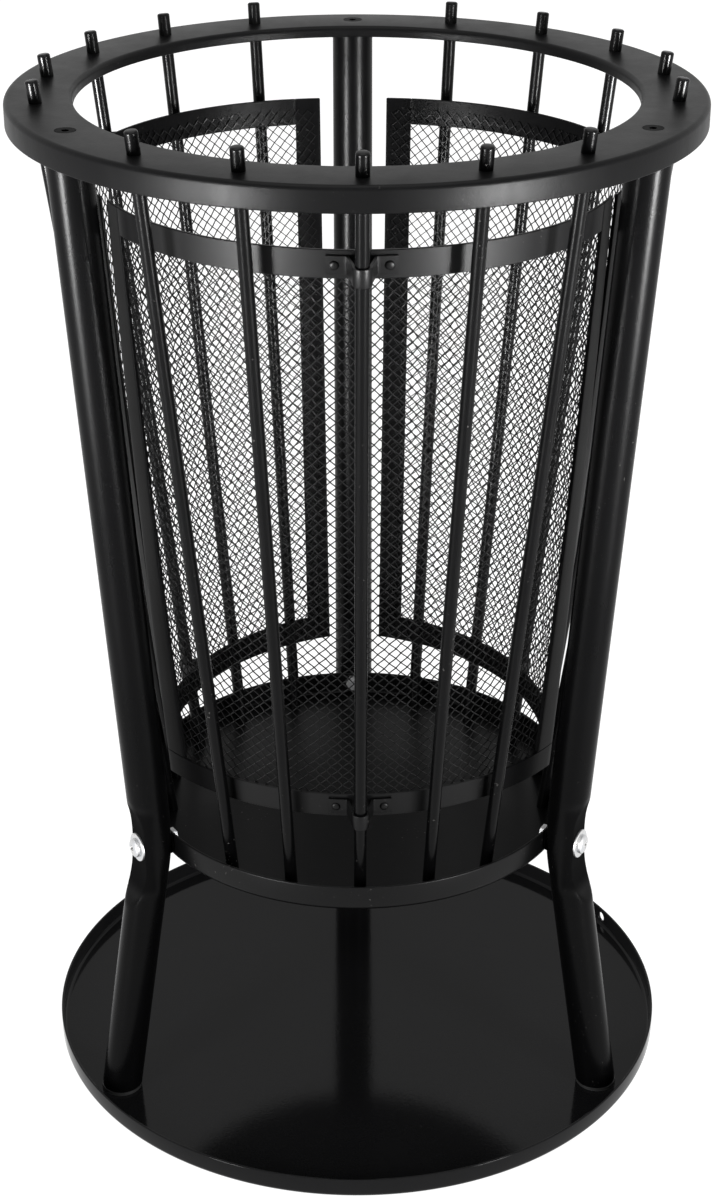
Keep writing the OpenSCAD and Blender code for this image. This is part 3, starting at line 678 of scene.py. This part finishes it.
def flat_bar(az, heights, left, right, rows, columns):
    """A rolled flat between two heights and two sides, all its edges rounded to FLAT_EDGE.

    left and right are (side azimuth, inset). A row's section runs round the sheet: outer face,
    a quarter turn at each corner, inner face; the end rows are drawn in by the edge radius.
    """
    edge, (low, high) = FLAT_EDGE, heights
    zs = np.concatenate([[low], np.linspace(low + edge, high - edge, rows), [high]])
    draw = np.zeros(rows + 2)
    draw[[0, -1]] = edge
    l0, r0 = side_turn(zs, 0.0, *left), side_turn(zs, 0.0, *right)
    l1, r1 = side_turn(zs, FRAME_T, *left), side_turn(zs, FRAME_T, *right)
    e, d, r = edge / SCREEN_R, draw / SCREEN_R, edge - draw
    outer, inner = np.full_like(zs, edge), np.full_like(zs, FRAME_T - edge)
    across, quarter = np.linspace(0, 1, columns), np.linspace(0, np.pi / 2, 4)[1:-1]
    section = [(l0 + e + k * (r0 - l0 - 2 * e), draw) for k in across]
    section += [(r0 - e + r * np.sin(q) / SCREEN_R, edge - r * np.cos(q)) for q in quarter]
    section += [(r0 - d, outer), (r1 - d, inner)]
    section += [(r1 - e + r * np.cos(q) / SCREEN_R, FRAME_T - edge + r * np.sin(q)) for q in quarter]
    section += [(r1 - e - k * (r1 - l1 - 2 * e), FRAME_T - draw) for k in across]
    section += [(l1 + e - r * np.sin(q) / SCREEN_R, FRAME_T - edge + r * np.cos(q)) for q in quarter]
    section += [(l1 + d, inner), (l0 + d, outer)]
    section += [(l0 + e - r * np.cos(q) / SCREEN_R, edge - r * np.sin(q)) for q in quarter]
    turn, depth = (np.stack(k, 1) for k in zip(*section))
    p = turned(roll_place(turn, np.repeat(zs[:, None], turn.shape[1], 1), depth), az)
    p = np.roll(p, len(quarter) + 1, axis=1)
    half = p.shape[1] // 2
    shape = Shape().net(p, close_columns=True)
    shape.net(np.stack([p[0, half:][::-1], p[0, :half]]))
    return shape.net(np.stack([p[-1, :half], p[-1, half:][::-1]]))


def frames():
    """Bands and side strips of the three screens."""
    seam = SCREEN_LOW + BAND_H
    for name, az, (left, right), (first, last) in SCREENS:
        bits = (("top_band", (SCREEN_TOP - BAND_H, SCREEN_TOP), (left, STRIP_W), (right, STRIP_W), *BAND_NET),
                ("bottom_band", (SCREEN_LOW, seam), (left, 0), (right, 0), *BAND_NET),
                (first, (seam, SCREEN_TOP), (left, 0), (left, STRIP_W), *STRIP_NET),
                (last, (seam, SCREEN_TOP), (right, STRIP_W), (right, 0), *STRIP_NET))
        for part, *measures in bits:
            part = "%s_%s" % (name, part)
            piece(part + "_skin", flat_bar(az, *measures), "frame_black", part, crease=FLAT_CREASE)


def wire(centre, across, lift):
    """A thin tube round a line of points: each ring is centre + r(cos t across + sin t lift)."""
    t = ((np.arange(WIRE_SIDES) + 0.5) * 2 * np.pi / WIRE_SIDES)[None, :, None]
    return centre[:, None] + WIRE_D / 2 * (np.cos(t) * across[:, None] + np.sin(t) * lift[:, None])


def woven(name, az, left, right):
    """Plain-woven square mesh laid on the bias inside a frame, rolled with it.

    On the unrolled sheet, with s round the roll and h up the rod, the wires are the lines
    s + h = k w and s - h = k w, w = pitch * sqrt 2. The k-th wire is lifted by
    A(-1)^k cos(pi t / pitch), t along the wire and A half a wire, and the wires that cross
    it by the opposite. Each wire stops inside the frame's sides, foot and top.
    """
    depth, w = FRAME_T + WIRE_D * MESH_BEHIND, MESH_PITCH * math.sqrt(2)
    rho = SCREEN_R - depth
    low, high = SCREEN_LOW + MESH_FOOT, SCREEN_TOP - MESH_TOP
    levels = np.linspace(low, high, WIRE_LEVELS)
    lefts, rights = side_turn(levels, depth, left, MESH_SIDE), side_turn(levels, depth, right, MESH_SIDE)
    t = np.arange(-WIRE_HALF_STEPS, WIRE_HALF_STEPS + 1) * 0.5 * MESH_PITCH
    reach = int(ROD_END / w) + WIRE_SPARES
    shape = Shape()
    for sign in (1, -1):
        for k in range(-reach, reach):
            turn, h = (k * w + t * math.sqrt(2)) / 2 / rho, sign * (k * w - t * math.sqrt(2)) / 2
            lift = 0.5 * WIRE_D * np.cos(np.pi * t / MESH_PITCH) * (-1) ** k * sign
            z = PAN_FLOOR + rolled(turn, depth)[1] * math.sin(ROD_LEAN) + h * math.cos(ROD_LEAN)
            level = np.clip(z, low, high)
            inside = (np.abs(turn) < WIRE_TURN_LIMIT) & (z > low) & (z < high)
            inside &= (turn > np.interp(level, levels, lefts)) & (turn < np.interp(level, levels, rights))
            if inside.sum() < WIRE_LEAST:
                continue
            turn, h, lift = turn[inside], h[inside], lift[inside]
            out = np.stack([-np.sin(turn), np.cos(turn), np.zeros_like(turn)], -1)
            centre = np.stack([*rolled(turn, depth), h], -1) + out * lift[:, None]
            along = unit_steps(centre)
            across = np.cross(along, out)
            across /= np.linalg.norm(across, axis=1, keepdims=True)
            shape.bar(turned(on_rod(wire(centre, across, np.cross(across, along))), az))
    piece(name + "_wires", shape, "mesh_black", name + "_mesh", crease=WIRE_CREASE)


# Straps and rivets. Both lie on the screen's outer face, square to the rod.

def up_rod(z):
    """How far up the middle rod a height above the ground lies, on the screen's face."""
    return (z - PAN_FLOOR) / math.cos(ROD_LEAN) - SCREEN_DEPTH * math.tan(ROD_LEAN)


def strap_line():
    """Centre line of half a strap, from its wing's end to the front of the rod, in the rod's frame.

    The wing follows the roll, two points round the bend, and the loop is an arc round the rod.
    """
    r = ROD_D / 2 + STRAP_PLAY + STRAP_T / 2
    rho = SCREEN_R + STRAP_T / 2
    end, start = math.asin(STRAP_W / 2 / rho), math.asin((STRAP_FOOT / 2 + STRAP_T + 1.0) / rho)
    wing = np.stack(rolled(np.linspace(end, start, 8), -STRAP_T / 2), -1)
    face, inwards = wing[-1][1], STRAP_FOOT / 2 + STRAP_T * 0.55
    a = np.linspace(-0.25, np.pi / 2, 14)
    loop = np.stack([r * np.cos(a), -r * np.sin(a)], -1)
    return np.concatenate([wing, [(inwards + 0.5, face - 0.5), (inwards, face - 1.6)], loop])


def strap(z, az):
    """A flat strap bent round a rod: its centre line thickened, run up its height, edges rounded."""
    half = strap_line()
    line = np.concatenate([half, (half[:-1] * [-1, 1])[::-1]])
    step = unit_steps(line)
    normal = np.stack([-step[:, 1], step[:, 0]], -1)
    t, h = STRAP_T / 2, STRAP_H / 2
    section = rounded([(-t, -h), (t, -h), (t, h), (-t, h)], [STRAP_EDGE] * 4, 3)
    flat = line[:, None] + normal[:, None] * section[None, :, :1]
    height = np.tile(section[:, 1], (len(line), 1)) + up_rod(z)
    return Shape().bar(turned(on_rod(np.concatenate([flat, height[..., None]], -1)), az))


def rivet_head(z, side, az):
    """Points of a low domed rivet head on a strap's wing, square to the rolled face."""
    a = side * math.asin((STRAP_W / 2 - RIVET_EDGE) / SCREEN_R)
    r, shank, collar = RIVET_HEAD_D / 2, RIVET_D / 2, STRAP_T + RIVET_COLLAR
    profile = [(shank, 0.0), (shank, STRAP_T - 0.1), (r - 0.1, STRAP_T), (r, collar)]
    profile += [(r * math.cos(k), collar + RIVET_DOME * math.sin(k)) for k in np.linspace(0.2, 1.45, 7)]
    p = drum(profile, RIVET_SIDES)
    out, c, s = SCREEN_R + p[..., 2], math.cos(a), math.sin(a)
    x, y = p[..., 0] * c + out * s, SCREEN_DEPTH + SCREEN_R + p[..., 0] * s - out * c
    return turned(on_rod(np.stack([x, y, p[..., 1] + up_rod(z)], -1)), az)


def straps():
    """Two straps and four rivets on each screen."""
    levels = {"top_strap": SCREEN_TOP - BAND_H / 2, "bottom_strap": SCREEN_LOW + BAND_H / 2}
    for name, az, _, _ in SCREENS:
        rivets = Shape()
        for part, z in levels.items():
            part = "%s_%s" % (name, part)
            piece(part + "_skin", strap(z, az), "strap_black", part, crease=FLAT_CREASE)
            for side in (-1, 1):
                rivets.bar(rivet_head(z, side, az))
        piece(name + "_rivet_heads", rivets, "strap_black", name + "_rivets", crease=FLAT_CREASE)


ash_tray()
fire_pan()
top_ring()
ring_screws()
legs()
rods()
knee_hardware()
frames()
for screen, screen_az, screen_sides, _ in SCREENS:
    woven(screen, screen_az, *screen_sides)
straps()

# Studio and camera, in metres

FLOOR_SIZE, FLOOR_SHADE, FLOOR_GLOW, ROOM_LIGHT = 12.0, 0.28, 0.90, 0.42

# Name, place, the point it faces, width, height, watts, and the degrees over which its grid lets light out
LIGHTS = (("left_box", (-1.22, -1.30, 0.42), (-0.34, -0.1, 0.78), 0.4, 0.4, 7.4, 36),
          ("right_box", (1.22, -1.30, 0.42), (0.34, -0.1, 0.78), 0.4, 0.4, 7.7, 36),
          ("left_fill", (-1.25, -1.33, 0.42), (-0.2, -0.1, 0.3), 0.35, 0.8, 9.5, 100),
          ("right_fill", (1.25, -1.33, 0.42), (0.2, -0.1, 0.3), 0.35, 0.8, 9.5, 100),
          ("top_box", (0.0, -0.3, 3.2), (0.0, 0.0, 0.4), 2.0, 1.6, 30.0, 180))

# The photograph's camera, from the ellipses of the ring, pan and tray; degrees, metres, and lens and sensor in mm
CAMERA_TURN, CAMERA_AWAY, CAMERA_UP, CAMERA_TILT = 0.9, 1.7421, 1.2619, 63.91
LENS, SENSOR, FAR_CLIP = 46.4, 24.0, 50.0


def floor():
    """A square sheet of studio paper on the ground."""
    me, h = bpy.data.meshes.new("floor"), FLOOR_SIZE / 2
    me.from_pydata([(-h, -h, 0.0), (h, -h, 0.0), (h, h, 0.0), (-h, h, 0.0)], [], [(0, 1, 2, 3)])
    me.materials.append(floor_paint("floor_paper", FLOOR_SHADE, FLOOR_GLOW))
    o = placed("floor", me)


def room():
    """The world: white where it is seen or mirrored, a plain level where it lights the object."""
    world = bpy.data.worlds.new("studio")
    bpy.context.scene.world = world
    world.use_nodes = True
    tree = world.node_tree
    tree.nodes.clear()
    lit, seen = (node(tree, "ShaderNodeBackground", inputs={"Color": (1.0, 1.0, 1.0), "Strength": k})
                 for k in (ROOM_LIGHT, 1.0))
    both = node(tree, "ShaderNodeMixShader", inputs={"Fac": in_view(tree), 1: lit, 2: seen})
    node(tree, "ShaderNodeOutputWorld", inputs={"Surface": both})


def area_light(name, at, towards, width, height, watts, spread):
    """A soft box at a place, facing a point."""
    light = bpy.data.lights.new(name, "AREA")
    light.shape, light.size, light.size_y, light.energy = "RECTANGLE", width, height, watts
    light.spread = math.radians(spread)
    d = np.array(towards) - np.array(at)
    d /= np.linalg.norm(d)
    o = placed(name, light)
    o.location, o.rotation_euler = at, (math.acos(-d[2]), 0.0, math.atan2(-d[0], d[1]))


def camera():
    """The camera at the photograph's viewing angle."""
    data = bpy.data.cameras.new("camera")
    data.sensor_fit, data.sensor_height, data.lens, data.clip_end = "VERTICAL", SENSOR, LENS, FAR_CLIP
    turn = math.radians(CAMERA_TURN)
    o = placed("camera", data)
    o.location = (-CAMERA_AWAY * math.sin(turn), -CAMERA_AWAY * math.cos(turn), CAMERA_UP)
    o.rotation_euler = (math.radians(CAMERA_TILT), 0.0, -turn)
    bpy.context.scene.camera = o


floor()
room()
for light_row in LIGHTS:
    area_light(*light_row)
camera()
bpy.context.scene.view_settings.view_transform = "Standard"
